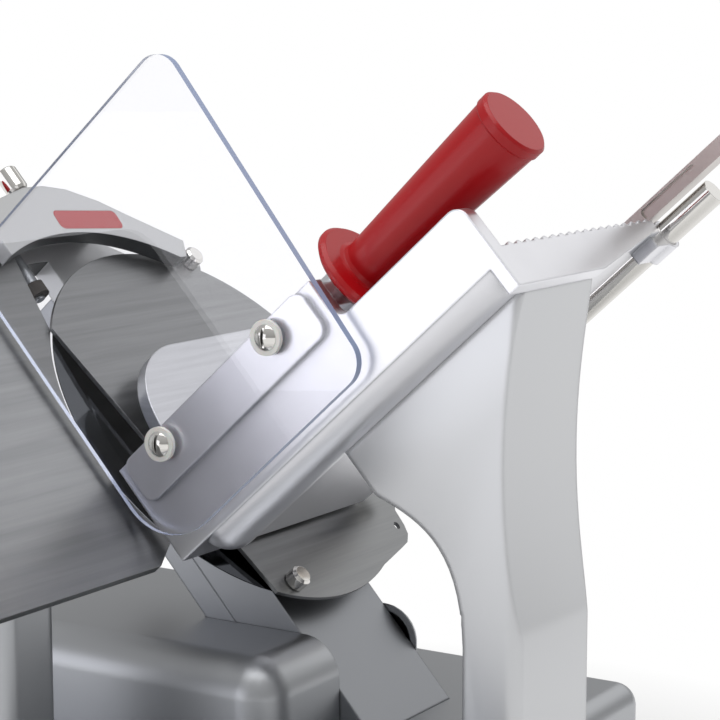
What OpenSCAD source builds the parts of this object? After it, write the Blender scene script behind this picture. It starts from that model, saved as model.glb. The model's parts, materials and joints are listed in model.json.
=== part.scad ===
// Gravity food slicer with a 250 mm blade, a sliding food carriage and a clear hand guard.
// The blade, gauge and carriage are drawn in a tilted frame: x along the blade axis,
// y away from the operator, z up the face of the blade.

/* [Stance] */
// Height of the blade's centre above the counter
axis_h = 245; // [240:1:255]
// Slope of the food table, which is also the tilt of the blade
slope = 42; // [41:0.5:43]

/* [Base] */
// Left face of the base
base_left = -190; // [-220:1:-180]
// Right face of the base
base_right = 210; // [205:1:214]
// Front face of the base, on the operator's side
base_front = -270; // [-290:1:-268]
// Back face of the base
base_back = 140; // [130:1:170]
// Height of the base's upper deck above the counter
deck_h = 80; // [78:1:84]
// Wall of the cast base
base_wall = 7; // [6:0.5:8]
// Edge rounding of the base
base_round = 14; // [13:1:16]
// Height of the rubber feet
foot_h = 22; // [18:1:23]
// Radius of a rubber foot
foot_r = 20; // [18:1:22]
// Distance from the base's sides to a foot's centre
foot_inset = 22; // [21:0.5:22]
// Thickness of the bottom plate
bottom_t = 2; // [1.5:0.5:3]
// Room between the motor and its hood
hood_room = 2; // [1:0.5:6]
// Edge rounding of the motor hood
hood_round = 24; // [18:1:25]

/* [Blade] */
// Diameter of the blade
blade_d = 250; // [246:1:252]
// Depth of the cutting edge behind the face of the cover
edge_in = 3.5; // [3.2:0.1:4]
// Depth of the blade's back behind the face of the cover
blade_back = 12; // [11.5:0.1:12]
// Thickness of the blade's web
blade_web = 4.5; // [4:0.1:5]
// Width of the ground ring at the rim
blade_ring = 21; // [18:1:26]
// Diameter of the hollow blade shaft
shaft_d = 20; // [19:0.5:21]
// Reach of the blade cover beyond the blade's edge
cover_over = 3; // [2:0.5:4]
// Thickness of the blade cover
cover_t = 2.5; // [2:0.1:2.7]
// Radius of a cover pin's head
pin_r = 6.5; // [5:0.5:7]
// Length of a cover pin's head
pin_h = 9; // [7:0.5:10]
// Diameter of the tie rod that holds the cover
tie_d = 10; // [8:0.5:10.5]

/* [Head and drive] */
// Front face of the blade head behind the face of the cover
head_in = 16; // [16:0.1:16.5]
// Depth of the blade head
head_depth = 34; // [33:0.5:37]
// Radius of the blade head round the shaft
head_r = 44; // [43:0.5:48]
// Thickness of the head's rear cover
head_cover_t = 16; // [15:0.5:18]
// Outside diameter of a shaft bearing
bearing_d = 32; // [30:1:36]
// Width of a shaft bearing
bearing_w = 8; // [7:0.5:9]
// Radius of the pulley on the blade shaft
pulley_r = 30; // [26:1:31]
// Radius of the pulley on the motor shaft
motor_pulley_r = 12; // [10:1:14]
// Width of both pulleys
pulley_w = 12; // [10:0.5:12.5]
// Distance from the blade shaft to the motor shaft
drive_centres = 130; // [128:1:134]
// Thickness of the drive belt
belt_t = 4; // [3:0.5:5]
// Diameter of the motor
motor_d = 64; // [58:1:66]
// Length of the motor
motor_len = 60; // [50:1:64]

/* [Sharpener] */
// Operator's end of the sharpener's hood
sharp_near = -105; // [-108:1:-100]
// Far end of the sharpener's hood
sharp_far = 47; // [42:1:48]
// Height of the hood's crown above the blade's centre
sharp_top = 176; // [172:1:178]
// Front face of the hood before the face of the cover
sharp_front = 12; // [11:0.5:12]
// Thickness of the hood's front wall
sharp_wall = 10; // [8:0.5:10]
// Radius of the lock knob
lock_r = 7; // [6:0.5:8]
// Length of the lock knob
lock_h = 16; // [12:1:20]
// Radius of the red sharpening button
stone_button_r = 11; // [9:0.5:12]
// Radius of the sharpening stone
stone_r = 7; // [5:0.5:7.5]

/* [Gauge plate] */
// Outer end of the gauge plate, on the operator's side
gauge_end = -310; // [-320:1:-290]
// Lower edge of the gauge plate
gauge_low = -74; // [-76:1:-70]
// Upper edge of the gauge plate
gauge_high = 148; // [140:1:150]
// Thickness of the gauge plate
gauge_t = 6; // [5:0.5:8]
// Diameter of the gauge plate's guide rod
gauge_rod_d = 18; // [14:1:20]
// Radius of the thickness knob
knob_r = 23; // [20:1:24]
// Length of the thickness knob
knob_len = 24; // [20:1:28]

/* [Food table] */
// Gap between the face of the cover and the table's lower end
table_start = 4; // [3.5:0.5:6]
// Length of the table along the slope
table_len = 262; // [258:1:266]
// Near face of the table, on the operator's side
table_near = -125; // [-126:0.5:-124]
// Far edge of the table
table_far = 62; // [60:0.5:62]
// Top of the table below the blade's centre
table_z = -70; // [-71:0.5:-69]
// Thickness of the table
table_t = 8; // [7:0.5:9]
// Spacing of the table's ribs
rib_pitch = 9.5; // [8.5:0.5:12]
// Radius of a table rib
rib_r = 3; // [2.5:0.5:3.5]
// Thickness of the near wall
wall_t = 10; // [8:0.5:10]
// Top of the wall beside the blade
wall_high = -16; // [-18:0.5:-14]
// Top of the wall behind the step
wall_low = -42; // [-44:0.5:-41]
// Place of the step in the wall, along the slope
wall_step = 172; // [170:0.5:173]
// Height of the pad that the guard is screwed to
pad_h = 28; // [25:1:30]
// Height of the pad above the wall's face
pad_t = 4; // [3:0.5:5]
// Radius of the rolled edge below the wall
bead_r = 18; // [16:0.5:18]
// Depth of the table's mounting foot
seat_h = 13; // [12:0.5:14]
// Thickness of the lip at the table's upper end
lip_t = 8; // [6:0.5:9]

/* [Hand guard] */
// Thickness of the clear guard
guard_t = 5; // [4:0.5:6]
// Width of the guard at its lower edge
guard_w = 174; // [168:1:176]
// Extra width of the guard at its upper edge
guard_flare = 12; // [8:1:14]
// Lower edge of the guard
guard_low = -73; // [-75:0.5:-70]
// Upper edge of the guard
guard_high = 134; // [125:1:140]
// Radius of the guard's corner beside the blade
guard_r = 35; // [25:1:38]
// Radius of the guard's other corners
guard_small_r = 15; // [12:1:20]
// Distance from the guard's edge to its first screw
screw_in = 42; // [40:0.5:44]
// Spacing of the guard screws
screw_gap = 94; // [90:0.5:96]
// Radius of a guard screw's head
screw_head_r = 7; // [6:0.5:8]

/* [Handle] */
// Diameter of the handle rod
rod_d = 12.4; // [11:0.2:14]
// Handle axis behind the near face of the table
handle_in = 37; // [36:0.5:39]
// Handle axis above the lower part of the wall
handle_up = 21; // [20:0.5:22]
// Radius of the grip's hand stop
stop_r = 29.5; // [27:0.5:30]
// Radius of the grip beside its hand stop
grip_r = 15; // [13:0.5:16]
// Radius of the grip at its outer end
grip_end_r = 20.5; // [18:0.5:21]
// Length of the grip beyond its hand stop
grip_len = 118; // [110:1:130]

/* [Carriage] */
// Thickness of the table leg
leg_t = 33; // [31:1:35]
// Depth of the table leg, across the machine
leg_w = 82; // [78:1:86]
// Right face of the table leg
leg_right = 253; // [251:0.5:254]
// Waist of the table leg on its right side
leg_waist = 10; // [8:0.5:11]
// Diameter of the slide rail
rail_d = 20; // [18:0.5:20]
// Depth of the slide rail below the deck
rail_drop = 28; // [27:0.5:29]
// Place of the slide rail across the base
rail_x = 150; // [145:1:150]
// Travel of the carriage towards the operator
slide_out = 175; // [160:1:178]
// Travel of the carriage away from the operator
slide_in = 15; // [10:1:16]

/* [Food press] */
// Diameter of the press guide rod
press_rod_d = 15; // [13:0.5:15]
// Guide rod beyond the far edge of the table
press_out = 16; // [16:0.5:18]
// Guide rod below the top of the table
press_down = 8; // [7.5:0.5:9]
// Length of the press lever
lever_len = 305; // [290:1:315]
// Height of the press lever
lever_h = 9; // [8:0.5:10]
// Height of the press plate
plate_h = 114; // [100:1:115]
// Width of the press plate
plate_w = 152; // [140:1:154]
// Thickness of the press plate
plate_t = 8; // [7:0.5:9]

/* [Fits] */
// Running clearance of a shaft in its bore
run_fit = 0.05; // [0.02:0.01:0.1]
// Clearance of a screw or rod in its seat
seat_fit = 0.05; // [0.02:0.01:0.1]
// Clearance between parts that pass each other
pass_gap = 0.5; // [0.4:0.1:0.8]

/* [Hidden] */
$fn = 64;

far = 900;

blade_r = blade_d / 2;
web_front = blade_web - blade_back;
blade_bore_r = 13;
blade_screw_r = 2.5;
blade_screw_circle = 19.5;
blade_screw_head = 2.5;
cover_r = blade_r + cover_over;
cover_cut = [[-97, 86], [-62, -112]];
pin_places = [(cover_r + 3) * [cos(61.3), sin(61.3)], (cover_r - 9.5) * [cos(248.2), sin(248.2)]];
pin_shank_r = 3;
ear_r = 10;
lug_turn = -50;
lug_points = [[-8.7, -45.2], [6.5, -16.2], [10.1, -8.8], [10.2, -1], [6.8, 5.1], [-1.5, 14], [-57.6, 6.2]];
lug_hole_r = 2.5;
lug_hole_out = 1.2;

head_front = -head_in;
head_back = head_front - head_depth;
shaft_r = shaft_d / 2;
tie_r = tie_d / 2;
shaft_bore_r = tie_r + 0.6;
flange_back = -blade_back - 3.5;
flange_r = 26;
bearing_front = head_front - 1.5;
bearing_rear = head_back - 1.5;
shaft_end = bearing_rear - bearing_w;
cavity_front = bearing_front - bearing_w - 0.5;
belt_mid = cavity_front - 1 - pulley_w / 2;
belt_w = pulley_w - 3;
belt_gap = 0.3;
cavity_gap = 5.5;
motor_z = -drive_centres;
motor_front = head_back - head_cover_t;
motor_shaft_r = 6;
motor_bore_len = 30;
tie_end = motor_front - 20;
tie_knob_len = 24;
tie_knob_r = 15;
post_near = -40;
post_far = 0;
post_back = -44;
post_front = -30;
post_top = 122;
tab_low = 92;

hood_left = -170;
hood_right = 105;
hood_near = -115;
hood_back = 60;
hood_wall = 4;
hood_top = axis_h + motor_front * sin(slope) + (motor_z + motor_d / 2) * cos(slope) + hood_wall + hood_room;

sharp_back = post_front;
sharp_back_wall = post_front + 14;
sharp_bridge = 152;
sharp_rear_near = -60;
sharp_lip = 112;
arch_centre = [-48, -14];
arch_r = 154;
lock_place = [2, -52];
lock_seat = sharp_top + 4;
lock_stem_r = 3;
lock_well = 7;
stone_place = [-12, -74];
stone_seat = sharp_top - 1;
stone_stem_r = 5;
stone_pin_r = 3;
stone_press = 6;
button_low = stone_seat + stone_press + 1;
stem_grip = 6;
stone_reach = 1.2;
stone_low = sqrt(pow(blade_r + stone_reach, 2) - pow(stone_place[1] + stone_r, 2)) + stone_press;
stone_h = 8;
inlay_t = 0.8;
inlay_centre = [-20, 148];
inlay_turn = -5;
inlay_len = 56;
inlay_h = 14;
inlay_round = 4;

gauge_face = -3;
gauge_back = gauge_face - gauge_t;
gauge_arc = blade_r + 2;
gauge_rod_y = -200;
gauge_rod_z = -40;
sleeve_front = -30;
sleeve_back = -75;
column_left = -38;
column_right = 12;
column_w = 44;
column_h = axis_h - 63;
sleeve_out_r = gauge_rod_d / 2 + 7;
knob_x = -70;
wall_mid = (foot_h + deck_h) / 2;
knob_z = wall_mid;
knob_shaft_r = 6;
knob_shaft_in = 30;
cam_off = 5;
cam_in = 16;
cam_t = 6;
cam_r = deck_h - base_wall - knob_z - cam_off - 2;

panel_x = 80;
panel_z = wall_mid;
panel_w = 70;
panel_h = 34;
panel_t = 3;
panel_round = 6;
button_r = 9;
button_lip = 1.5;
button_in = 6;
button_out = 6;
button_press = 3;
gland_x = -120;
gland_z = wall_mid;
gland_r = 9;
gland_out = 8;
gland_bore_r = 4;

table_end = table_start + table_len;
table_low = table_z - table_t;
wall_in = table_near + wall_t;
wall_fillet = 8;
pad_face = table_near - pad_t;
pad_low = wall_high - pad_h;
pad_start = table_start + 7;
pad_end = wall_step - 6;
pad_round = 7;
seat_low = table_low - seat_h;
bead_y = table_near + bead_r;
bead_z = seat_low + bead_r;
bead_start = 16;
seat_start = 118;
seat_end = table_end - lip_t - 1;
leg_near = table_near + 18;
handle_y = table_near + handle_in;
handle_z = wall_low + handle_up;
boss_start = 136;
boss_end = wall_step - 4;
boss_r = 13;
rod_start = boss_start + 10;
stop_start = wall_step + 5;
stop_t = 6;
grip_start = stop_start + stop_t;
grip_end = grip_start + grip_len;
rod_end = grip_end - 12;

guard_face = pad_face - guard_t;
guard_start = 1;
screw_z = wall_high - 8.5;
screw_ts = [guard_start + screw_in, guard_start + screw_in + screw_gap];
screw_r = 3;
washer_t = 2.5;
washer_r = screw_head_r + 2.5;

rail_h = deck_h - rail_drop;
leg_left = leg_right - leg_t;
leg_round = 10;
leg_curve = [[leg_left - 84.5, axis_h + 11], [leg_left - 57, axis_h - 23], [leg_left + 2, axis_h],
    [leg_left, axis_h - 95]];
waist_r = 420;
waist_z = axis_h + 14;
tongue_near = -70;
tongue_w = 42;
tongue_h = 18;
tongue_low = rail_h - tongue_h / 2;
leg_low = tongue_low - 1;
block_w = 70;
block_near = tongue_near - 3;
block_half = 25;
block_h = 32;
block_right = rail_x + block_half;
bush_wall = 3;
bush_r = rail_d / 2 + run_fit + bush_wall;
bush_len = 20;
rail_boss_len = 6;
rail_boss_r = rail_d / 2 + 6;
slot_gap = 3;
base_in_left = base_left + base_wall;
base_in_right = base_right - base_wall;
base_in_front = base_front + base_wall;
base_in_back = base_back - base_wall;
foot_boss_r = foot_r - 4;
foot_boss_h = 3.5;
support_w = 10;
support_h = 6;
slide_clear = 0.3;
slide_pad_t = 2.7;
support_low = tongue_low - slide_pad_t - slide_clear - support_h;

press_y = table_far + press_out;
press_z = table_z - press_down;
press_rod_r = press_rod_d / 2;
press_rod_start = 10;
press_rod_end = table_end + 34;
lug_w = 16;
lugs = [18, table_end - 20];
press_lug_r = press_rod_r + 2;
sleeve_start = 36;
sleeve_end = 90;
collar_t = 2;
sleeve_r = press_rod_r + run_fit + 1.5;
collar_r = sleeve_r + 1.5;
hub_gap = 0.3;
hub_start = sleeve_start + collar_t + hub_gap;
hub_end = sleeve_end - collar_t - hub_gap;
hub_r = sleeve_r + 4;
lever_w = 14;
lever_low = press_z + max(press_lug_r, collar_r) + pass_gap;
lever_start = hub_start + 1.5;
lever_end = lever_start + lever_len;
plate_start = 13;
plate_back = plate_start + plate_t;
plate_low = table_z + 3;
plate_far = table_far - 2;
plate_near = plate_far - plate_w;
plate_top = plate_low + plate_h;
plate_r = 55;
plate_small_r = 12;
web_t = 10;
web_r = 13;
web_end = [-10, -15];
web_side = [2.6, 9.7];

lever_tip_x = (lever_end - lever_h / 2) * cos(slope) - (lever_low + lever_h / 2) * sin(slope) + lever_h / 2;
place_x = -(base_left + lever_tip_x) / 2;
place_y = -(gauge_end + base_back + gland_out) / 2;

// Puts the origin under the middle of the whole machine
module placed() {
    translate([place_x, place_y, 0]) children();
}

// Places what is drawn in the blade's tilted frame
module tilted() {
    translate([0, 0, axis_h]) rotate([0, -slope, 0]) children();
}

// Turns an outline in the blade's plane into a plate from one depth to another
module plate(from, to) {
    translate([from, 0, 0]) rotate([90, 0, 90]) linear_extrude(to - from) children();
}

// Turns an outline in the side view into a piece from one side to the other
module side(from, to) {
    translate([0, to, 0]) rotate([90, 0, 0]) linear_extrude(to - from) children();
}

// A cylinder along the blade axis
module rod(from, to, y, z, r) {
    translate([from, y, z]) rotate([0, 90, 0]) cylinder(r = r, h = to - from);
}

// A cylinder along the carriage's travel
module cross_rod(from, to, x, z, r) {
    translate([x, to, z]) rotate([90, 0, 0]) cylinder(r = r, h = to - from);
}

// A turned profile, x its radius and y its place along the blade axis
module turned(y, z) {
    translate([0, y, z]) rotate([0, 90, 0]) rotate_extrude($fn = 96) children();
}

// A rectangle with round corners
module round_rect(x0, y0, x1, y1, r) {
    translate([x0 + r, y0]) square([x1 - x0 - 2 * r, y1 - y0]);
    translate([x0, y0 + r]) square([x1 - x0, y1 - y0 - 2 * r]);
    for (x = [x0 + r, x1 - r], y = [y0 + r, y1 - r]) translate([x, y]) circle(r = r);
}

// A box with round upper edges and corners
module soft_box(x0, y0, z0, x1, y1, z1, r) {
    intersection() {
        hull() {
            for (x = [x0 + r, x1 - r], y = [y0 + r, y1 - r]) {
                translate([x, y, z1 - r]) sphere(r = r, $fn = 32);
                translate([x, y, z0]) cylinder(r = r, h = 1, $fn = 32);
            }
        }
        translate([x0 - r, y0 - r, z0]) cube([x1 - x0 + 2 * r, y1 - y0 + 2 * r, z1 - z0 + r]);
    }
}

// All the space above the base's deck
module above_deck() {
    translate([-far / 2, -far / 2, deck_h]) cube(far);
}

module foot_places() {
    for (x = [base_left + foot_inset, base_right - foot_inset])
        for (y = [base_front + foot_inset, base_back - foot_inset]) translate([x, y]) children();
}

module base_housing() {
    slot_near = tongue_near - slide_out - slot_gap;
    slot_far = tongue_near + tongue_w + slide_in + slot_gap;
    placed() color("silver") difference() {
        union() {
            difference() {
                soft_box(base_left, base_front, foot_h, base_right, base_back, deck_h, base_round);
                translate([0, 0, foot_h - 1]) linear_extrude(deck_h - base_wall - foot_h + 1)
                    round_rect(base_in_left, base_in_front, base_in_right, base_in_back, base_round - 2);
            }
            foot_places() translate([0, 0, foot_h]) cylinder(r = foot_boss_r, h = foot_boss_h);
            cross_rod(base_in_front - 1, base_in_front + rail_boss_len, rail_x, rail_h, rail_boss_r);
            cross_rod(base_in_back - rail_boss_len, base_in_back + 1, rail_x, rail_h, rail_boss_r);
        }
        cross_rod(base_in_front, base_in_back, rail_x, rail_h, rail_d / 2 + seat_fit);
        translate([base_in_right - 1, slot_near, tongue_low - slot_gap])
            cube([base_wall + 2, slot_far - slot_near, tongue_h + 2 * slot_gap]);
        cross_rod(base_front - 1, base_in_front + 1, knob_x, knob_z, knob_shaft_r + run_fit);
        for (x = [-1, 1])
            cross_rod(base_front - 1, base_in_front + 1, panel_x + x * panel_w / 4, panel_z,
                button_r + run_fit);
        cross_rod(base_in_back - 1, base_back + 1, gland_x, gland_z, gland_r + seat_fit);
        tilted() rod(motor_front - motor_len - 4, motor_front + 20, 0, motor_z, motor_d / 2 + 3);
    }
}

module bottom_plate() {
    placed() color("dimgray") translate([0, 0, foot_h]) linear_extrude(bottom_t) difference() {
        round_rect(base_in_left + seat_fit, base_in_front + seat_fit, base_in_right - seat_fit,
            base_in_back - seat_fit, base_round - 2);
        foot_places() circle(r = foot_boss_r + pass_gap);
    }
}

module rubber_feet() {
    placed() color("black") foot_places() rotate_extrude()
        polygon([[0, 0], [foot_r - 3, 0], [foot_r, 3], [foot_boss_r, foot_h], [0, foot_h]]);
}

module slide_rail() {
    placed() color("lightgray") cross_rod(base_in_front, base_in_back, rail_x, rail_h, rail_d / 2);
}

module support_rail() {
    placed() color("gray") translate([base_in_right - support_w, base_in_front + base_round, support_low])
        cube([support_w, base_in_back - base_in_front - 2 * base_round, support_h]);
}

module head_outline(grow) {
    circle(r = head_r + grow, $fn = 96);
    translate([-head_r - grow, -far]) square([2 * (head_r + grow), far]);
}

module drive_outline(grow) {
    hull() {
        circle(r = pulley_r + grow, $fn = 48);
        translate([0, motor_z]) circle(r = motor_pulley_r + grow, $fn = 48);
    }
}

module blade_head() {
    placed() color("darkgray") difference() {
        intersection() {
            tilted() union() {
                plate(head_back, head_front) head_outline(0);
                plate(post_back, post_front)
                    translate([post_near, 0]) square([post_far - post_near, post_top]);
            }
            above_deck();
        }
        tilted() plate(head_back - 1, cavity_front) drive_outline(belt_t + cavity_gap);
        tilted() rod(cavity_front - 1, head_front + 1, 0, 0, bearing_d / 2 + seat_fit);
    }
}

module head_cover() {
    placed() color("gray") intersection() {
        tilted() difference() {
            plate(motor_front, head_back) head_outline(0);
            rod(motor_front - 1, head_back + 1, 0, motor_z, motor_shaft_r + 2);
            rod(shaft_end - 0.5, head_back + 1, 0, 0, bearing_d / 2 + seat_fit);
            rod(motor_front - 1, head_back, 0, 0, tie_r + seat_fit);
        }
        above_deck();
    }
}

module motor() {
    placed() color("dimgray") tilted() difference() {
        rod(motor_front - motor_len, motor_front, 0, motor_z, motor_d / 2);
        rod(motor_front - motor_bore_len, motor_front + 1, 0, motor_z, motor_shaft_r + run_fit);
    }
}

module motor_hood() {
    placed() color("silver") difference() {
        soft_box(hood_left, hood_near, deck_h, hood_right, hood_back, hood_top, hood_round);
        soft_box(hood_left + hood_wall, hood_near + hood_wall, deck_h - 2, hood_right - hood_wall,
            hood_back - hood_wall, hood_top - hood_wall, hood_round - hood_wall);
        tilted() plate(motor_front - pass_gap, far) head_outline(pass_gap);
    }
}

module shaft_bearings() {
    placed() color("lightgray") tilted() for (front = [bearing_front, bearing_rear]) difference() {
        rod(front - bearing_w, front, 0, 0, bearing_d / 2);
        rod(front - bearing_w - 1, front + 1, 0, 0, shaft_r + run_fit);
    }
}

module blade_cover() {
    along = (cover_cut[1] - cover_cut[0]) / norm(cover_cut[1] - cover_cut[0]);
    placed() color("gray") tilted() plate(-cover_t, 0) difference() {
        union() {
            difference() {
                circle(r = cover_r, $fn = 128);
                polygon([cover_cut[0] - 200 * along, [-far, 200], [-far, -300],
                    cover_cut[1] + 200 * along]);
            }
            rotate(lug_turn) translate([cover_r, 0]) polygon(lug_points);
            translate(pin_places[0]) circle(r = ear_r);
        }
        rotate(lug_turn) translate([cover_r + lug_hole_out, 0]) circle(r = lug_hole_r);
        for (p = pin_places) translate(p) circle(r = pin_shank_r + seat_fit);
    }
}

module cover_pins() {
    placed() color("gainsboro") tilted() for (p = pin_places) turned(p[0], p[1])
        polygon([[0, -cover_t], [pin_shank_r, -cover_t], [pin_shank_r, 0], [pin_r - 0.8, 0], [pin_r, 0.8],
            [pin_r, pin_h - 1.5], [pin_r - 1.5, pin_h], [0, pin_h]]);
}

module cover_tie_rod() {
    placed() color("lightgray") tilted() union() {
        rod(tie_end, -cover_t - 1, 0, 0, tie_r);
        rod(-cover_t - 2, -cover_t, 0, 0, tie_r + 4);
    }
}

module tie_rod_knob() {
    placed() color("black") tilted() turned(0, 0)
        polygon([[tie_r + seat_fit, motor_front], [tie_knob_r - 3, motor_front],
            [tie_knob_r, motor_front - 4], [tie_knob_r, motor_front - tie_knob_len + 3],
            [tie_knob_r - 3, motor_front - tie_knob_len],
            [0, motor_front - tie_knob_len], [0, tie_end - 0.2], [tie_r + seat_fit, tie_end - 0.2]]);
}

module drive_belt() {
    placed() color("black") tilted() plate(belt_mid - belt_w / 2, belt_mid + belt_w / 2) difference() {
        drive_outline(belt_gap + belt_t);
        drive_outline(belt_gap);
    }
}

module blade_screw_places() {
    for (a = [90, 210, 330])
        translate([0, blade_screw_circle * cos(a), blade_screw_circle * sin(a)]) children();
}

module blade() {
    web_r = blade_r - blade_ring;
    placed() color("slategray") tilted() difference() {
        turned(0, 0) polygon([[blade_bore_r, -blade_back], [web_r - 18, -blade_back],
            [web_r, 2 - blade_back], [blade_r - 0.1, -edge_in - 0.7], [blade_r, -edge_in],
            [web_r, -edge_in - 3], [web_r - 20, web_front], [blade_bore_r, web_front]]);
        blade_screw_places() rod(-blade_back - 1, 0, 0, 0, blade_screw_r + seat_fit);
    }
}

module blade_screws() {
    placed() color("gray") tilted() blade_screw_places() turned(0, 0)
        polygon([[0, flange_back], [blade_screw_r, flange_back], [blade_screw_r, web_front],
            [blade_screw_r + 1.8, web_front], [blade_screw_r + 1.8, web_front + blade_screw_head - 0.5],
            [blade_screw_r + 1.3, web_front + blade_screw_head], [0, web_front + blade_screw_head]]);
}

module blade_shaft() {
    placed() color("lightgray") tilted() difference() {
        turned(0, 0) polygon([[shaft_bore_r, shaft_end], [shaft_r, shaft_end], [shaft_r, flange_back],
            [flange_r, flange_back], [flange_r, -blade_back], [blade_bore_r - seat_fit, -blade_back],
            [blade_bore_r - seat_fit, web_front], [shaft_bore_r, web_front]]);
        blade_screw_places() rod(flange_back - 1, 0, 0, 0, blade_screw_r + seat_fit);
    }
}

module pulley(z, r, bore) {
    half = pulley_w / 2;
    turned(0, z) polygon([[bore, belt_mid - half], [r + 2, belt_mid - half], [r + 2, belt_mid - half + 1],
        [r, belt_mid - half + 1], [r, belt_mid + half - 1], [r + 2, belt_mid + half - 1],
        [r + 2, belt_mid + half], [bore, belt_mid + half]]);
}

module blade_pulley() {
    placed() color("gray") tilted() pulley(0, pulley_r, shaft_r + seat_fit);
}

module motor_shaft() {
    placed() color("lightgray") tilted()
        rod(motor_front - motor_bore_len + 1, belt_mid + pulley_w / 2, 0, motor_z, motor_shaft_r);
}

module motor_pulley() {
    placed() color("gray") tilted() pulley(motor_z, motor_pulley_r, motor_shaft_r + seat_fit);
}

module sharpener_outline() {
    difference() {
        polygon([[sharp_near, sharp_lip], [sharp_far, sharp_lip], [sharp_far + 7, sharp_lip + 12],
            [20, sharp_top - 29], [0, sharp_top - 15], [-22, sharp_top - 4], [-40, sharp_top],
            [-60, sharp_top], [sharp_near, sharp_top - 11]]);
        translate(arch_centre) circle(r = arch_r, $fn = 128);
    }
}

module inlay_outline(grow) {
    translate(inlay_centre) rotate(inlay_turn)
        round_rect(-inlay_len / 2 - grow, -inlay_h / 2 - grow, inlay_len / 2 + grow, inlay_h / 2 + grow,
            inlay_round + grow);
}

module sharpener_body() {
    placed() color("silver") tilted() difference() {
        union() {
            plate(sharp_front - sharp_wall, sharp_front) sharpener_outline();
            plate(sharp_back, sharp_front) intersection() {
                sharpener_outline();
                translate([-far, sharp_bridge]) square(2 * far);
            }
            plate(sharp_back, sharp_back_wall) intersection() {
                sharpener_outline();
                translate([sharp_rear_near, 0]) square(far);
            }
            plate(sharp_back, sharp_back_wall)
                translate([post_near, tab_low]) square([post_far - post_near, sharp_bridge - tab_low + 4]);
        }
        plate(sharp_front - inlay_t, sharp_front + 1) inlay_outline(seat_fit);
        translate([lock_place[0], lock_place[1], 0]) {
            translate([0, 0, sharp_bridge - 1]) cylinder(r = lock_stem_r + run_fit, h = 60);
            translate([0, 0, sharp_top - lock_well]) cylinder(r = lock_r + 1.5, h = 60);
        }
        translate([stone_place[0], stone_place[1], sharp_bridge - 1])
            cylinder(r = stone_stem_r + run_fit, h = 60);
    }
}

module sharpener_inlay() {
    placed() color("firebrick") tilted() plate(sharp_front - inlay_t, sharp_front) inlay_outline(0);
}

module lock_knob() {
    placed() color("gainsboro") tilted() translate([lock_place[0], lock_place[1], 0]) union() {
        translate([0, 0, sharp_bridge + 2]) cylinder(r = lock_stem_r, h = lock_seat - sharp_bridge);
        translate([0, 0, lock_seat]) rotate_extrude()
            polygon([[0, 0], [lock_r - 1, 0], [lock_r, 2], [lock_r, lock_h - 1], [lock_r - 1, lock_h],
                [0, lock_h]]);
    }
}

module stone_button() {
    placed() color("firebrick") tilted()
        translate([stone_place[0], stone_place[1], button_low]) difference() {
            rotate_extrude() intersection() {
                union() {
                    square([stone_button_r, 5]);
                    translate([0, 5]) circle(r = stone_button_r);
                }
                square([stone_button_r, 5 + stone_button_r]);
            }
            translate([0, 0, -1]) cylinder(r = stone_stem_r + seat_fit, h = stem_grip + 1);
        }
}

module stone_stem() {
    placed() color("lightgray") tilted() translate([stone_place[0], stone_place[1], 0]) union() {
        translate([0, 0, stone_low - 2]) cylinder(r = stone_pin_r, h = stone_h + 4);
        translate([0, 0, stone_low + stone_h + 1])
            cylinder(r = stone_stem_r, h = button_low + stem_grip - stone_low - stone_h - 1);
    }
}

module grinding_stone() {
    placed() color("peru") tilted() translate([stone_place[0], stone_place[1], stone_low]) difference() {
        cylinder(r = stone_r, h = stone_h);
        translate([0, 0, -1]) cylinder(r = stone_pin_r + run_fit, h = stone_h + 2);
    }
}

module gauge_support() {
    placed() color("silver") difference() {
        union() {
            translate([column_left, gauge_rod_y - column_w / 2, deck_h]) linear_extrude(column_h - deck_h)
                round_rect(0, 0, column_right - column_left, column_w, 10);
            tilted() rod(sleeve_back, sleeve_front, gauge_rod_y, gauge_rod_z, sleeve_out_r);
        }
        tilted() rod(sleeve_back - 60, sleeve_front + 60, gauge_rod_y, gauge_rod_z,
            gauge_rod_d / 2 + run_fit);
    }
}

module gauge_plate() {
    placed() color("gray") tilted() plate(gauge_back, gauge_face) difference() {
        union() {
            round_rect(gauge_end, gauge_low, -170, gauge_high, 20);
            polygon([[-200, gauge_low], [-134, gauge_low], [-106, gauge_low + 17], [-95, 86],
                [-82, gauge_high], [-200, gauge_high]]);
        }
        circle(r = gauge_arc, $fn = 128);
    }
}

module gauge_rod() {
    placed() color("lightgray") tilted()
        rod(sleeve_back - 12, gauge_back, gauge_rod_y, gauge_rod_z, gauge_rod_d / 2);
}

module thickness_knob() {
    placed() color("firebrick") difference() {
        translate([knob_x, base_front - 1, knob_z]) rotate([90, 0, 0]) rotate_extrude()
            polygon([[0, 0], [knob_r + 3, 0], [knob_r + 3, 3], [knob_r, 5], [knob_r - 2, knob_len - 3],
                [knob_r - 5, knob_len], [0, knob_len]]);
        for (a = [0:30:330]) translate([knob_x, base_front - 7, knob_z]) rotate([0, a, 0])
            translate([knob_r + 2, 0, 0]) rotate([90, 0, 0]) cylinder(r = 4, h = knob_len);
        cross_rod(base_front - 14, base_front, knob_x, knob_z, knob_shaft_r + seat_fit);
    }
}

module knob_shaft() {
    placed() color("gray") union() {
        cross_rod(base_front - 14, base_in_front + knob_shaft_in, knob_x, knob_z, knob_shaft_r);
        cross_rod(base_in_front + cam_in, base_in_front + cam_in + cam_t, knob_x - cam_off, knob_z, cam_r);
    }
}

module switch_panel() {
    placed() color("whitesmoke") side(base_front - panel_t, base_front) difference() {
        translate([panel_x, panel_z])
            round_rect(-panel_w / 2, -panel_h / 2, panel_w / 2, panel_h / 2, panel_round);
        for (x = [-1, 1]) translate([panel_x + x * panel_w / 4, panel_z]) circle(r = button_r + run_fit);
    }
}

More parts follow.
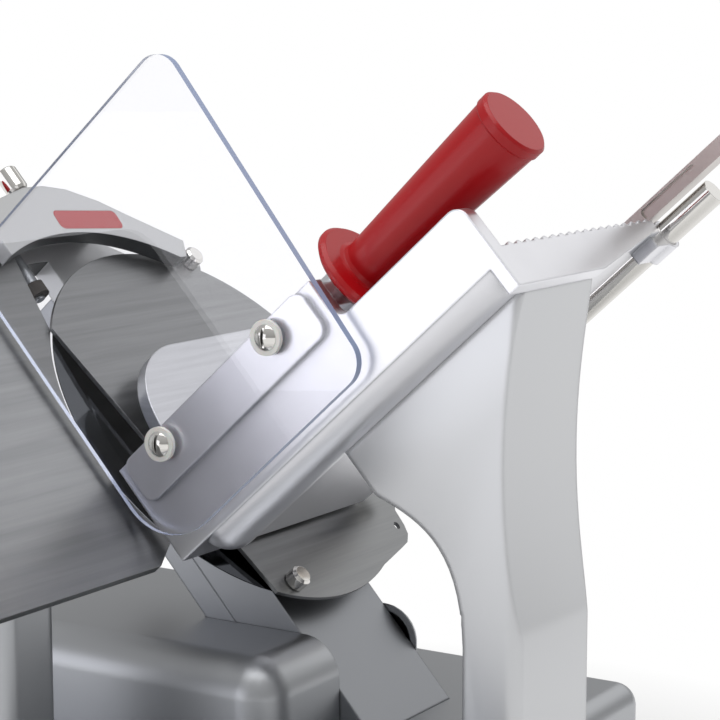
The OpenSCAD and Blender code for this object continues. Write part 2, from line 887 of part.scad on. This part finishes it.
module push_button(x) {
    inside = base_in_front + button_in;
    length = inside - base_front + panel_t + button_out;
    translate([x, inside, panel_z]) rotate([90, 0, 0]) rotate_extrude()
        polygon([[0, 0], [button_r + button_lip, 0], [button_r + button_lip, button_in - button_press],
            [button_r, button_in - button_press], [button_r, length - 1.5], [button_r - 1.5, length],
            [0, length]]);
}

module start_button() {
    placed() color("ivory") push_button(panel_x - panel_w / 4);
}

module stop_button() {
    placed() color("firebrick") push_button(panel_x + panel_w / 4);
}

module cable_gland() {
    placed() color("black") difference() {
        union() {
            cross_rod(base_in_back - 4, base_back + gland_out, gland_x, gland_z, gland_r);
            cross_rod(base_back, base_back + 5, gland_x, gland_z, gland_r + 4);
        }
        cross_rod(base_in_back - 5, base_back + gland_out + 1, gland_x, gland_z, gland_bore_r);
    }
}

// The near wall seen from the operator's side, with its step and rounded end
module wall_outline() {
    r = wall_fillet;
    difference() {
        union() {
            translate([table_start, table_low]) square([wall_step - table_start, wall_high - table_low]);
            translate([table_start, table_low]) square([table_len, wall_low - r - table_low]);
            translate([table_start, wall_low - r]) square([table_len - r, r]);
            translate([table_end - r, wall_low - r]) circle(r = r);
            translate([wall_step, wall_low]) square(r);
        }
        translate([wall_step + r, wall_low + r]) circle(r = r);
    }
}

module food_table() {
    ribs = floor((table_far - 4 - wall_in) / rib_pitch);
    placed() color("lightsteelblue") tilted() difference() {
        union() {
            translate([table_start, wall_in - 1, table_low])
                cube([table_len, table_far - wall_in + 1, table_t]);
            for (i = [1:ribs])
                rod(table_start, table_end, wall_in + i * rib_pitch, table_z - rib_r + 1.6, rib_r);
            side(table_near, wall_in) wall_outline();
            side(pad_face, table_near + 1) round_rect(pad_start, pad_low, pad_end, wall_high, pad_round);
            difference() {
                union() {
                    rod(bead_start + bead_r, table_end - lip_t, bead_y, bead_z, bead_r);
                    translate([bead_start + bead_r, bead_y, bead_z]) sphere(r = bead_r);
                }
                translate([0, wall_in, table_z - 1]) cube(far);
            }
            plate(table_end - lip_t, table_end) polygon([[table_near, table_z], [table_far, table_z],
                [table_far, table_z - 6], [-30, seat_low - 3], [table_near, seat_low - 3]]);
            translate([seat_start, leg_near, seat_low])
                cube([seat_end - seat_start, leg_w, seat_h + 1]);
            rod(boss_start, boss_end, handle_y, handle_z, boss_r);
            translate([boss_start, wall_in - 1, handle_z - 10])
                cube([boss_end - boss_start, handle_in - wall_t + 1, 15]);
            for (g = lugs) {
                rod(g, g + lug_w, press_y, press_z, press_lug_r);
                translate([g, table_far - 6, press_z - 7]) cube([lug_w, press_out + 5, 11]);
            }
        }
        rod(rod_start, wall_step, handle_y, handle_z, rod_d / 2 + seat_fit);
        for (t = screw_ts) cross_rod(pad_face - 1, wall_in + 1, t, screw_z, screw_r + seat_fit);
        rod(press_rod_start, table_end, press_y, press_z, press_rod_r + seat_fit);
    }
}

// A point of a curve that is drawn by four control points
function curve_point(c, k) = pow(1 - k, 3) * c[0] + 3 * k * pow(1 - k, 2) * c[1]
    + 3 * k * k * (1 - k) * c[2] + pow(k, 3) * c[3];

// The open space inside the leg's bend, seen from the operator's side
module bend_outline() {
    start = leg_curve[0];
    polygon([[-far, start[1] + far], start, for (i = [1:24]) curve_point(leg_curve, i / 24), [leg_left, 0],
        [-far, 0]]);
}

module leg_outline() {
    difference() {
        union() {
            translate([0, axis_h]) rotate(slope) translate([seat_start, -240])
                square([seat_end - seat_start, 240 + seat_low]);
            translate([leg_left - 1, leg_low]) square([leg_t + 1, waist_z - leg_low]);
        }
        bend_outline();
        translate([leg_right, 0]) square([far, waist_z]);
        translate([leg_right + waist_r - leg_waist, waist_z]) circle(r = waist_r, $fn = 256);
    }
}

module table_leg() {
    placed() color("lightgray") union() {
        intersection() {
            side(leg_near, leg_near + leg_w) leg_outline();
            translate([0, leg_near, leg_low]) linear_extrude(far)
                round_rect(100, 0, leg_right + 2, leg_w, leg_round);
        }
        translate([block_right, tongue_near, tongue_low])
            cube([leg_left + 8 - block_right, tongue_w, tongue_h]);
    }
}

module slide_block() {
    placed() color("gray") difference() {
        translate([rail_x - block_half, block_near, rail_h - block_h / 2])
            cube([2 * block_half, block_w, block_h]);
        cross_rod(block_near - 1, block_near + block_w + 1, rail_x, rail_h, bush_r + seat_fit);
    }
}

module slide_bushes() {
    placed() color("peru") for (y = [block_near, block_near + block_w - bush_len]) difference() {
        cross_rod(y, y + bush_len, rail_x, rail_h, bush_r);
        cross_rod(y - 1, y + bush_len + 1, rail_x, rail_h, rail_d / 2 + run_fit);
    }
}

module slide_pad() {
    placed() color("ivory")
        translate([base_in_right - support_w - 1, tongue_near + 3, tongue_low - slide_pad_t])
            cube([support_w, tongue_w - 6, slide_pad_t]);
}

module hand_guard() {
    corners = [[0, guard_low, guard_r, 1, 1], [guard_w, guard_low, guard_small_r, -1, 1],
        [guard_w + guard_flare, guard_high, guard_small_r, -1, -1], [0, guard_high, guard_small_r, 1, -1]];
    placed() color("aliceblue", 0.4) tilted() difference() {
        side(guard_face, pad_face) hull() {
            for (c = corners)
                translate([guard_start + c[0] + c[3] * c[2], c[1] + c[4] * c[2]]) circle(r = c[2]);
        }
        for (t = screw_ts) cross_rod(guard_face - 1, pad_face + 1, t, screw_z, screw_r + seat_fit);
    }
}

module guard_washers() {
    placed() color("white") tilted() for (t = screw_ts) difference() {
        cross_rod(guard_face - washer_t, guard_face, t, screw_z, washer_r);
        cross_rod(guard_face - washer_t - 1, guard_face + 1, t, screw_z, screw_r + seat_fit);
    }
}

module guard_screws() {
    head_face = guard_face - washer_t;
    dome = 3.2;
    ball = (screw_head_r * screw_head_r + dome * dome) / (2 * dome);
    placed() color("gainsboro") tilted() for (t = screw_ts)
        translate([t, head_face, screw_z]) rotate([90, 0, 0]) difference() {
            union() {
                rotate_extrude() intersection() {
                    translate([0, dome - ball]) circle(r = ball, $fn = 128);
                    square([screw_head_r, dome]);
                }
                translate([0, 0, head_face - wall_in]) cylinder(r = screw_r, h = wall_in - head_face + 0.5);
            }
            rotate(48) translate([-screw_head_r, -0.8, dome - 1.7]) cube([2 * screw_head_r, 1.6, 3]);
        }
}

module handle_rod() {
    placed() color("lightgray") tilted() rod(rod_start, rod_end, handle_y, handle_z, rod_d / 2);
}

module handle_grip() {
    bore = rod_d / 2 + seat_fit;
    placed() color("firebrick") tilted() turned(handle_y, handle_z)
        polygon([[bore, stop_start], [stop_r - 2, stop_start], [stop_r, stop_start + 2],
            [stop_r, grip_start - 2], [stop_r - 2, grip_start], [grip_r + 3, grip_start],
            [grip_r + 0.8, grip_start + 0.8], [grip_r, grip_start + 3], [grip_end_r - 0.8, grip_end - 7],
            [grip_end_r, grip_end - 6.2], [grip_end_r, grip_end - 1.5], [grip_end_r - 1.5, grip_end],
            [0, grip_end], [0, rod_end + 0.2], [bore, rod_end + 0.2]]);
}

module press_rod() {
    placed() color("gainsboro") tilted() rod(press_rod_start, press_rod_end, press_y, press_z, press_rod_r);
}

module press_sleeve() {
    inner = press_rod_r + run_fit;
    placed() color("peru") tilted() turned(press_y, press_z)
        polygon([[inner, sleeve_start], [collar_r, sleeve_start], [collar_r, sleeve_start + collar_t],
            [sleeve_r, sleeve_start + collar_t], [sleeve_r, sleeve_end - collar_t],
            [collar_r, sleeve_end - collar_t], [collar_r, sleeve_end], [inner, sleeve_end]]);
}

// The press lever with its root on the hub, seen from the operator's side
module lever_outline() {
    tip = lever_h / 2;
    translate([lever_start, lever_low]) square([lever_len - tip, lever_h]);
    translate([lever_end - tip, lever_low + tip]) circle(r = tip);
    translate([lever_start, press_z + 4]) square([hub_end - lever_start - 1.5, lever_low - press_z]);
}

module press_arm() {
    half = lever_w / 2;
    placed() color("gainsboro") tilted() difference() {
        union() {
            rod(hub_start, hub_end, press_y, press_z, hub_r);
            side(press_y - half, press_y + half) lever_outline();
            plate(hub_start, hub_start + web_t)
                polygon([[press_y + 10, press_z], [press_y + 3, press_z + 54], web_end + web_side,
                    web_end - web_side, [press_y - 15, press_z + 38], [press_y - 10, press_z]]);
            rod(plate_back, hub_start + web_t + 1, web_end[0], web_end[1], web_r);
        }
        rod(hub_start - 1, hub_end + 1, press_y, press_z, sleeve_r + run_fit);
        side(press_y - half - 1, press_y - half + 2)
            round_rect(lever_end - 85, lever_low + 1.5, lever_end - 42, lever_low + lever_h - 1.5, 2.5);
    }
}

module press_plate() {
    small = plate_small_r;
    placed() color("lavender") tilted() plate(plate_start, plate_back) union() {
        translate([plate_near, plate_low]) square([plate_w, plate_h - plate_r]);
        translate([plate_near + plate_r, plate_low]) square([plate_w - plate_r - small, plate_h]);
        translate([plate_near + plate_r, plate_top - plate_r]) circle(r = plate_r, $fn = 96);
        translate([plate_far - small, plate_top - small]) circle(r = small);
        translate([plate_far - small, plate_low]) square([small, plate_h - small]);
    }
}

base_housing();
bottom_plate();
rubber_feet();
slide_rail();
support_rail();
blade_head();
head_cover();
motor();
motor_hood();
shaft_bearings();
blade_cover();
cover_pins();
cover_tie_rod();
tie_rod_knob();
drive_belt();
blade();
blade_screws();
blade_shaft();
blade_pulley();
motor_shaft();
motor_pulley();
sharpener_body();
sharpener_inlay();
lock_knob();
stone_button();
stone_stem();
grinding_stone();
gauge_support();
gauge_plate();
gauge_rod();
thickness_knob();
knob_shaft();
switch_panel();
start_button();
stop_button();
cable_gland();
food_table();
table_leg();
slide_block();
slide_bushes();
slide_pad();
hand_guard();
guard_washers();
guard_screws();
handle_rod();
handle_grip();
press_rod();
press_sleeve();
press_arm();
press_plate();
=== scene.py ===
import json
import math

import bmesh
import bpy
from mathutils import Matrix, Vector

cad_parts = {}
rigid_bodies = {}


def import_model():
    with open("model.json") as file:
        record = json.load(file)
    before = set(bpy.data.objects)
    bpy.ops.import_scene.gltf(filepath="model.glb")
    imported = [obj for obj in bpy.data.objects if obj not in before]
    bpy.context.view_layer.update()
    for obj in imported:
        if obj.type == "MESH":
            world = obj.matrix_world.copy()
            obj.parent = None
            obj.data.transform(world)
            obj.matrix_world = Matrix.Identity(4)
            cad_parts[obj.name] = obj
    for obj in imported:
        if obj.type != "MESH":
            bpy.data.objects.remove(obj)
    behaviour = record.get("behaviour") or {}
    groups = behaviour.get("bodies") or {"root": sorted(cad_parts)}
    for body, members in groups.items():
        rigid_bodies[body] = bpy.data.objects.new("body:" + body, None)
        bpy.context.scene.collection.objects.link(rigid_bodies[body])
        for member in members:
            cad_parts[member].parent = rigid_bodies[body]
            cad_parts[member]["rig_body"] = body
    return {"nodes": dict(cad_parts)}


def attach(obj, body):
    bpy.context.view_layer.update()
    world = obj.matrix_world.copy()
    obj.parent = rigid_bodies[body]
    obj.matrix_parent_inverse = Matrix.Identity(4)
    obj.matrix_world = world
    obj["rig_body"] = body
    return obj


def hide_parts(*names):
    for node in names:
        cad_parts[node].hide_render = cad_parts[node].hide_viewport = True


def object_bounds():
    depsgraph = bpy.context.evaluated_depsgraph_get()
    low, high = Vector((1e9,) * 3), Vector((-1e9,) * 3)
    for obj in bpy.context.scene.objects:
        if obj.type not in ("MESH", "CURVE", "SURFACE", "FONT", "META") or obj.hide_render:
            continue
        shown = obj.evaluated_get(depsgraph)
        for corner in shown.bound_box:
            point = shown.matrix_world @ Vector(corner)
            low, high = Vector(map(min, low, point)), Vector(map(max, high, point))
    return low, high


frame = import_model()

cad_low, cad_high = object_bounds()
nodes = frame["nodes"]
MM = 0.001


def srgb(code, alpha=1.0):
    """Linear colour of a hex code such as b3121f."""
    parts = [int(code[i:i + 2], 16) / 255 for i in (0, 2, 4)]
    return [c / 12.92 if c <= 0.04045 else ((c + 0.055) / 1.055) ** 2.4 for c in parts] + [alpha]


def add(tree, kind, values=None, **settings):
    """Adds a shader node; a value that is an output socket is linked, any other is set on the socket."""
    node = tree.nodes.new(kind)
    for key, value in settings.items():
        setattr(node, key, value)
    for key, value in (values or {}).items():
        if isinstance(value, bpy.types.NodeSocket):
            tree.links.new(value, node.inputs[key])
        else:
            node.inputs[key].default_value = value
    return node


def new_material(name, colour, rough, metallic=0.0, **sockets):
    """A principled material with constants on its own sockets, and its node tree and shader."""
    material = bpy.data.materials.new(name)
    material.use_nodes = True
    tree = material.node_tree
    shader = tree.nodes["Principled BSDF"]
    shader.inputs["Base Color"].default_value = srgb(colour)
    shader.inputs["Roughness"].default_value = rough
    shader.inputs["Metallic"].default_value = metallic
    for key, value in sockets.items():
        shader.inputs[key.replace("_", " ")].default_value = value
    return material, tree, shader


def blend(tree, shader, share, low, high):
    """Runs the base colour from one hex code to another by a share from 0 to 1."""
    tint = add(tree, "ShaderNodeMix", {0: share, 6: srgb(low), 7: srgb(high)}, data_type="RGBA")
    tree.links.new(tint.outputs[2], shader.inputs["Base Color"])


def grain(tree, shader, size_mm, depth_mm, edge_mm=0.0, stretch=(1, 1, 1), rough=None, shades=None):
    """Grain of a size in millimetres, drawn out by stretch, over softly broken edges; it may vary shine and shade."""
    place = add(tree, "ShaderNodeTexCoord")
    scaled = add(tree, "ShaderNodeMapping", {"Vector": place.outputs["Object"],
                                             "Scale": [1 / s for s in stretch]})
    noise = add(tree, "ShaderNodeTexNoise", {"Vector": scaled.outputs["Vector"], "Scale": 1 / (size_mm * MM),
                                             "Detail": 3.0, "Roughness": 0.6})
    bump = add(tree, "ShaderNodeBump", {"Height": noise.outputs["Fac"], "Distance": depth_mm * MM,
                                        "Strength": 1.0})
    if edge_mm:
        edge = add(tree, "ShaderNodeBevel", {"Radius": edge_mm * MM}, samples=6)
        tree.links.new(edge.outputs["Normal"], bump.inputs["Normal"])
    tree.links.new(bump.outputs["Normal"], shader.inputs["Normal"])
    if rough:
        spread = add(tree, "ShaderNodeMapRange", {"Value": noise.outputs["Fac"], "From Min": 0.3, "From Max": 0.7,
                                                  "To Min": rough[0], "To Max": rough[1]})
        tree.links.new(spread.outputs["Result"], shader.inputs["Roughness"])
    if shades:
        share = add(tree, "ShaderNodeMapRange", {"Value": noise.outputs["Fac"], "From Min": 0.3, "From Max": 0.7})
        blend(tree, shader, share.outputs["Result"], *shades)


def shade_creases(tree, shader, reach_mm, open_colour, painted_shade_colour):
    """Paints shade into slots and inner corners within a reach: the base colour goes darker where ambient occlusion
    finds them sheltered.
    """
    shelter = add(tree, "ShaderNodeAmbientOcclusion", {"Distance": reach_mm * MM}, samples=6, only_local=True)
    share = add(tree, "ShaderNodeMapRange", {"Value": shelter.outputs["AO"], "From Min": 0.35, "From Max": 0.9})
    # Painted shade: sheltered places take the darker colour, open faces keep their own.
    blend(tree, shader, share.outputs["Result"], painted_shade_colour, open_colour)


def dress(material, *names):
    """Gives CAD nodes a material in place of the one they were packed with."""
    for name in names:
        nodes[name].data.materials.clear()
        nodes[name].data.materials.append(material)


def tilt(t, s, u):
    """A place in the blade's frame, in millimetres, as a place in the part's frame."""
    slope = math.radians(42)
    blade_centre = Vector((-54.59, 81, 245))
    along = Vector((math.cos(slope), 0, math.sin(slope)))
    up = Vector((-math.sin(slope), 0, math.cos(slope)))
    return (blade_centre + along * t + Vector((0, s, 0)) + up * u) * MM


def new_piece(name, form, node, slot, *materials):
    """Makes an object of a bmesh that stands for a CAD node and rides with its body."""
    mesh = bpy.data.meshes.new(name)
    form.to_mesh(mesh)
    form.free()
    for material in materials:
        mesh.materials.append(material)
    mesh.shade_smooth()
    mesh.set_sharp_from_angle(angle=math.radians(32))
    piece = bpy.data.objects.new(name, mesh)
    bpy.context.scene.collection.objects.link(piece)
    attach(piece, nodes[node]["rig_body"])
    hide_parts(node)
    return piece


# Camera
# The photograph's view: low, from the operator's right, with a long lens.
lens = bpy.data.cameras.new("camera")
lens.lens = 108.9
lens.sensor_width = 36.0
camera = bpy.data.objects.new("camera", lens)
bpy.context.scene.collection.objects.link(camera)
camera.location = (0.6966, -0.9756, 0.4697)
camera.rotation_euler = Vector((-0.52437, 0.83917, -0.14436)).to_track_quat("-Z", "Y").to_euler()
bpy.context.scene.camera = camera

# Base housing, motor hood and gauge support
# Satin anodised castings, light grey, with a fine even grain and softly broken edges. The housing and
# the hood are copies of their solids with the round corners shaded smooth.
casting, tree, shader = new_material("anodised_casting", "b4b6b9", 0.4, 1.0)
grain(tree, shader, 0.7, 0.012, edge_mm=1.2)
dress(casting, "gauge_support")
for name, node in (("base_shell", "base_housing"), ("hood_shell", "motor_hood")):
    form = bmesh.new()
    form.from_mesh(nodes[node].data)
    bmesh.ops.remove_doubles(form, verts=form.verts, dist=0.02 * MM)
    shell = new_piece(name, form, node, "cast_base", casting)
    shell.modifiers.new("even_shading", "WEIGHTED_NORMAL").keep_sharp = True

# Bottom plate and support rail
# Zinc plated steel sheet and bar, only seen from below and through the slot.
zinc, tree, shader = new_material("zinc_plate", "9a9da1", 0.38, 1.0)
grain(tree, shader, 4.0, 0.01, rough=(0.3, 0.5))
dress(zinc, "bottom_plate", "support_rail", "blade_screws", "knob_shaft", "stone_stem")

# Rubber feet
# Soft black rubber with a dull, slightly dusty face.
rubber, tree, shader = new_material("foot_rubber", "1d1d1e", 0.75)
grain(tree, shader, 1.2, 0.03, edge_mm=0.8)
dress(rubber, "rubber_feet", "drive_belt")

# Rails, shafts and rods
# Ground steel, bright, with fine turning marks across its length.
ground, tree, shader = new_material("ground_steel", "d3d4d6", 0.2, 1.0)
grain(tree, shader, 0.5, 0.002)
dress(ground, "slide_rail", "shaft_bearings", "cover_tie_rod", "blade_shaft", "motor_shaft", "gauge_rod",
      "handle_rod")

# Blade head, its cover and the pulleys
# Grey cast aluminium, a little darker than the base.
head, tree, shader = new_material("head_casting", "9c9ea2", 0.42, 1.0)
grain(tree, shader, 0.9, 0.02, edge_mm=1.5)
dress(head, "blade_head", "head_cover", "blade_pulley", "motor_pulley", "slide_block")

# Motor
# Dark stoving enamel.
enamel, tree, shader = new_material("motor_enamel", "2b2d30", 0.45)
grain(tree, shader, 1.5, 0.02, edge_mm=1.0)
dress(enamel, "motor")

# Blade cover
# Stainless sheet with fine rolling streaks along the carriage's travel, satin and rather dark.
cover, tree, shader = new_material("brushed_cover_steel", "909192", 0.34, 1.0)
grain(tree, shader, 5.0, 0.006, edge_mm=0.5, stretch=(1, 30, 1), rough=(0.3, 0.42), shades=("868788", "9a9b9c"))
dress(cover, "blade_cover")

# Gauge plate
# Anodised plate with broad soft streaks, one shade with the cover.
gauge, tree, shader = new_material("anodised_gauge", "8e8f90", 0.4, 1.0)
grain(tree, shader, 7.0, 0.008, edge_mm=0.6, stretch=(1, 30, 1), rough=(0.34, 0.46), shades=("848586", "98999a"))
dress(gauge, "gauge_plate")

# Blade
# Hardened steel, ground to a dark mirror.
mirror, tree, shader = new_material("blade_mirror_steel", "4a4d52", 0.08, 1.0)
grain(tree, shader, 0.8, 0.0008)
dress(mirror, "blade")

# Chrome pieces
# Lock knob, cover pins, guard screws and press rod are bright chrome.
chrome, tree, shader = new_material("bright_chrome", "dcdad6", 0.07, 1.0)
grain(tree, shader, 6.0, 0.004, edge_mm=0.6)
# Painted shade: screw slots, knurls and inner corners go near black.
shade_creases(tree, shader, 3.0, "dcdad6", "141414")
dress(chrome, "lock_knob", "cover_pins", "guard_screws", "press_rod")

# Press arm
# Nickel plated casting, a little warmer and softer in its shine than chrome.
nickel, tree, shader = new_material("nickel_arm", "c9c4c0", 0.34, 1.0)
grain(tree, shader, 20.0, 0.001)
dress(nickel, "press_arm")

# Sharpener body
# Light grey casting, satin, with soft edges round its hood. Its underside over the blade carries painted shade: faces
# turned down towards the blade are coloured near black.
hood, tree, shader = new_material("sharpener_casting", "c2c3c4", 0.36, 0.45)
grain(tree, shader, 0.8, 0.012, edge_mm=1.6)
# Painted shade: faces whose normal points down towards the blade get a near-black base colour.
face = add(tree, "ShaderNodeNewGeometry")
down = add(tree, "ShaderNodeVectorMath", {0: face.outputs["True Normal"], 1: (0.669, 0, -0.743)},
           operation="DOT_PRODUCT")
painted_underside_shade = add(tree, "ShaderNodeMapRange", {"Value": down.outputs["Value"], "From Min": 0.35, "From Max": 0.5})
blend(tree, shader, painted_underside_shade.outputs["Result"], "c2c3c4", "24282b")
dress(hood, "sharpener_body")

# Red pieces
# Glossy moulded red plastic: grip, buttons, knob and the plain field on the sharpener.
red, tree, shader = new_material("red_moulding", "a8060f", 0.34, Specular_IOR_Level=0.3, Coat_Weight=0.15,
                                 Coat_Roughness=0.12)
grain(tree, shader, 1.1, 0.004, edge_mm=0.9)
dress(red, "handle_grip", "stone_button", "thickness_knob", "stop_button", "sharpener_inlay")

# Black mouldings
# Tie rod knob and cable gland in dull black plastic.
black, tree, shader = new_material("black_moulding", "1b1b1d", 0.5)
grain(tree, shader, 0.8, 0.02, edge_mm=0.8)
dress(black, "tie_rod_knob", "cable_gland")

# Sharpening stone
# Dark grey abrasive with a coarse grain.
stone, tree, shader = new_material("abrasive_stone", "4a4643", 0.9)
grain(tree, shader, 0.5, 0.12)
dress(stone, "grinding_stone")

# White mouldings
# Switch panel, start button, slide pad and the guard's washers in white nylon.
nylon, tree, shader = new_material("white_nylon", "e9e8e3", 0.4, Subsurface_Weight=0.2, Subsurface_Scale=0.002)
grain(tree, shader, 1.0, 0.006, edge_mm=0.5)
dress(nylon, "switch_panel", "start_button", "slide_pad", "guard_washers")

# Bushes
# Plain bronze bearing bushes on the rail and on the press rod.
bronze, tree, shader = new_material("bearing_bronze", "a67f4f", 0.3, 1.0)
grain(tree, shader, 0.6, 0.004)
dress(bronze, "slide_bushes", "press_sleeve")

# Food table
# Softly polished aluminium, bright and cool, with edges rounded by the polishing.
polished, tree, shader = new_material("polished_aluminium", "e6e6ea", 0.34, 1.0)
grain(tree, shader, 30.0, 0.002, edge_mm=1.8, rough=(0.31, 0.37))
# Painted shade: the grooves between the ribs and the inner corners go a darker grey.
shade_creases(tree, shader, 10.0, "e6e6ea", "8a8c92")
dress(polished, "food_table")

# Press plate
# Satin aluminium with faint level brush lines.
brushed, tree, shader = new_material("brushed_aluminium", "cfd0d4", 0.32, 1.0)
grain(tree, shader, 3.0, 0.01, edge_mm=1.2, stretch=(30, 30, 1), rough=(0.28, 0.38), shades=("c6c7cb", "d8d9dd"))
dress(brushed, "press_plate")

# Table leg
# Satin, light-grey casting with wide soft edges.
satin, tree, shader = new_material("satin_leg_casting", "c9cacc", 0.36, 1.0)
grain(tree, shader, 0.8, 0.01, edge_mm=4.0)
form = bmesh.new()
form.from_mesh(nodes["table_leg"].data)
bmesh.ops.remove_doubles(form, verts=form.verts, dist=0.02 * MM)
bmesh.ops.dissolve_limit(form, angle_limit=math.radians(0.5), verts=form.verts, edges=form.edges)
corner = [e for e in form.edges if len(e.link_faces) == 2 and e.calc_face_angle(0) > math.radians(35)]
bmesh.ops.bevel(form, geom=corner, offset=5 * MM, segments=4, profile=0.5, affect="EDGES", clamp_overlap=True)
new_piece("leg_casting", form, "table_leg", "leg_aluminium", satin)

# Hand guard
# Clear acrylic sheet with a large lower corner beside the blade. Its polished rim, a second
# material, gathers the light and looks lavender-blue; lamps shine through the sheet.
acrylic, tree, shader = new_material("clear_acrylic", "f8f8fb", 0.0, Transmission_Weight=1.0, IOR=1.4)
path = add(tree, "ShaderNodeLightPath")
clear = add(tree, "ShaderNodeBsdfTransparent", {"Color": srgb("f6f6fa")})
lit = add(tree, "ShaderNodeMixShader", {0: path.outputs["Is Shadow Ray"], 1: shader.outputs["BSDF"],
                                        2: clear.outputs["BSDF"]})
tree.links.new(lit.outputs["Shader"], tree.nodes["Material Output"].inputs["Surface"])
rim, tree, shader = new_material("acrylic_rim", "a6b4d6", 0.2, Transmission_Weight=0.25, IOR=1.4)
sheet_front, sheet_back = -134.0, -129.2
sheet_left, sheet_right, sheet_flare = 1, 175, 12
sheet_low, sheet_high = -73, 134
blade_corner, small_corner = 35, 15
corner_steps = 12
corners = [(sheet_left + blade_corner, sheet_low + blade_corner, blade_corner, 180),
           (sheet_right - small_corner, sheet_low + small_corner, small_corner, 270),
           (sheet_right + sheet_flare - small_corner, sheet_high - small_corner, small_corner, 0),
           (sheet_left + small_corner, sheet_high - small_corner, small_corner, 90)]
outline = []
for t, u, radius, start in corners:
    for step in range(corner_steps + 1):
        turn = math.radians(start + 90 * step / corner_steps)
        outline.append((t + radius * math.cos(turn), u + radius * math.sin(turn)))
form = bmesh.new()
front = [form.verts.new(tilt(t, sheet_front, u)) for t, u in outline]
back = [form.verts.new(tilt(t, sheet_back, u)) for t, u in outline]
faces = [form.faces.new(front), form.faces.new(back[::-1])]
for i in range(len(outline)):
    k = (i + 1) % len(outline)
    form.faces.new((front[k], front[i], back[i], back[k])).material_index = 1
edges = [e for face in faces for e in face.edges]
made = bmesh.ops.bevel(form, geom=edges, offset=0.6 * MM, segments=2, profile=0.5, affect="EDGES")
for face in made["faces"]:
    face.material_index = 1
bmesh.ops.recalc_face_normals(form, faces=form.faces)
new_piece("guard_sheet", form, "hand_guard", "clear_guard", acrylic, rim)

# Floor
# Plain pale counter that turns to white away from the machine, to the camera and in reflections.
bpy.ops.mesh.primitive_circle_add(vertices=96, radius=14.0, fill_type="NGON", location=(0, 0, cad_low.z - 0.0005))
floor = bpy.context.object
floor.name = "floor"
paper, tree, shader = new_material("pale_floor", "efefee", 0.9)
place = add(tree, "ShaderNodeTexCoord")
reach = add(tree, "ShaderNodeVectorMath", {0: place.outputs["Object"]}, operation="LENGTH")
fade = add(tree, "ShaderNodeMapRange", {"Value": reach.outputs["Value"], "From Min": 0.28, "From Max": 0.5})
path = add(tree, "ShaderNodeLightPath")
seen = add(tree, "ShaderNodeMath", {0: 1.0, 1: path.outputs["Is Diffuse Ray"]}, operation="SUBTRACT")
share = add(tree, "ShaderNodeMath", {0: fade.outputs["Result"], 1: seen.outputs["Value"]}, operation="MULTIPLY")
white = add(tree, "ShaderNodeEmission", {"Color": (1, 1, 1, 1), "Strength": 1.0})
mixed = add(tree, "ShaderNodeMixShader", {0: share.outputs["Value"], 1: shader.outputs["BSDF"],
                                          2: white.outputs["Emission"]})
tree.links.new(mixed.outputs["Shader"], tree.nodes["Material Output"].inputs["Surface"])
floor.data.materials.append(paper)

# World
# White to the camera and through the guard; a soft studio gradient for light and reflections.
world = bpy.data.worlds.new("studio")
bpy.context.scene.world = world
world.use_nodes = True
tree = world.node_tree
place = add(tree, "ShaderNodeTexCoord")
axes = add(tree, "ShaderNodeSeparateXYZ", {"Vector": place.outputs["Generated"]})
rise = add(tree, "ShaderNodeMapRange", {"Value": axes.outputs["Z"], "From Min": -0.2, "From Max": 0.9,
                                        "To Min": 0.3, "To Max": 0.6})
path = add(tree, "ShaderNodeLightPath")
seen = add(tree, "ShaderNodeMath", {0: path.outputs["Is Camera Ray"], 1: path.outputs["Is Transmission Ray"]},
           operation="MAXIMUM")
level = add(tree, "ShaderNodeMix", {"Factor": seen.outputs["Value"], "A": rise.outputs["Result"], "B": 1.0})
backdrop = tree.nodes["Background"]
backdrop.inputs["Color"].default_value = (1, 1, 1, 1)
tree.links.new(level.outputs["Result"], backdrop.inputs["Strength"])


def softbox(name, place, aim, width, height, power, colour="ffffff"):
    """A rectangular soft light that faces a point."""
    data = bpy.data.lights.new(name, "AREA")
    data.shape = "RECTANGLE"
    data.size, data.size_y = width, height
    data.energy = power
    data.color = srgb(colour)[:3]
    lamp = bpy.data.objects.new(name, data)
    bpy.context.scene.collection.objects.link(lamp)
    lamp.location = place
    lamp.rotation_euler = (Vector(aim) - Vector(place)).to_track_quat("-Z", "Y").to_euler()


# Lights
# A broad soft box above, a low one at the operator's left for the carriage and one behind for the blade cover.
softbox("top_light", (0.1, -0.2, 1.7), (0.05, 0.05, 0.2), 1.4, 1.2, 12.0)
softbox("left_light", (-0.85, -1.4, 0.46), (0.0, -0.05, 0.3), 1.8, 0.88, 5.4, "f6f7ff")
softbox("back_light", (0.4, 1.5, 1.1), (-0.05, 0.1, 0.25), 1.5, 1.0, 2.6)

# View
# Plain colours without a film curve.
scene = bpy.context.scene
scene.view_settings.view_transform = "Standard"
scene.view_settings.look = "None"
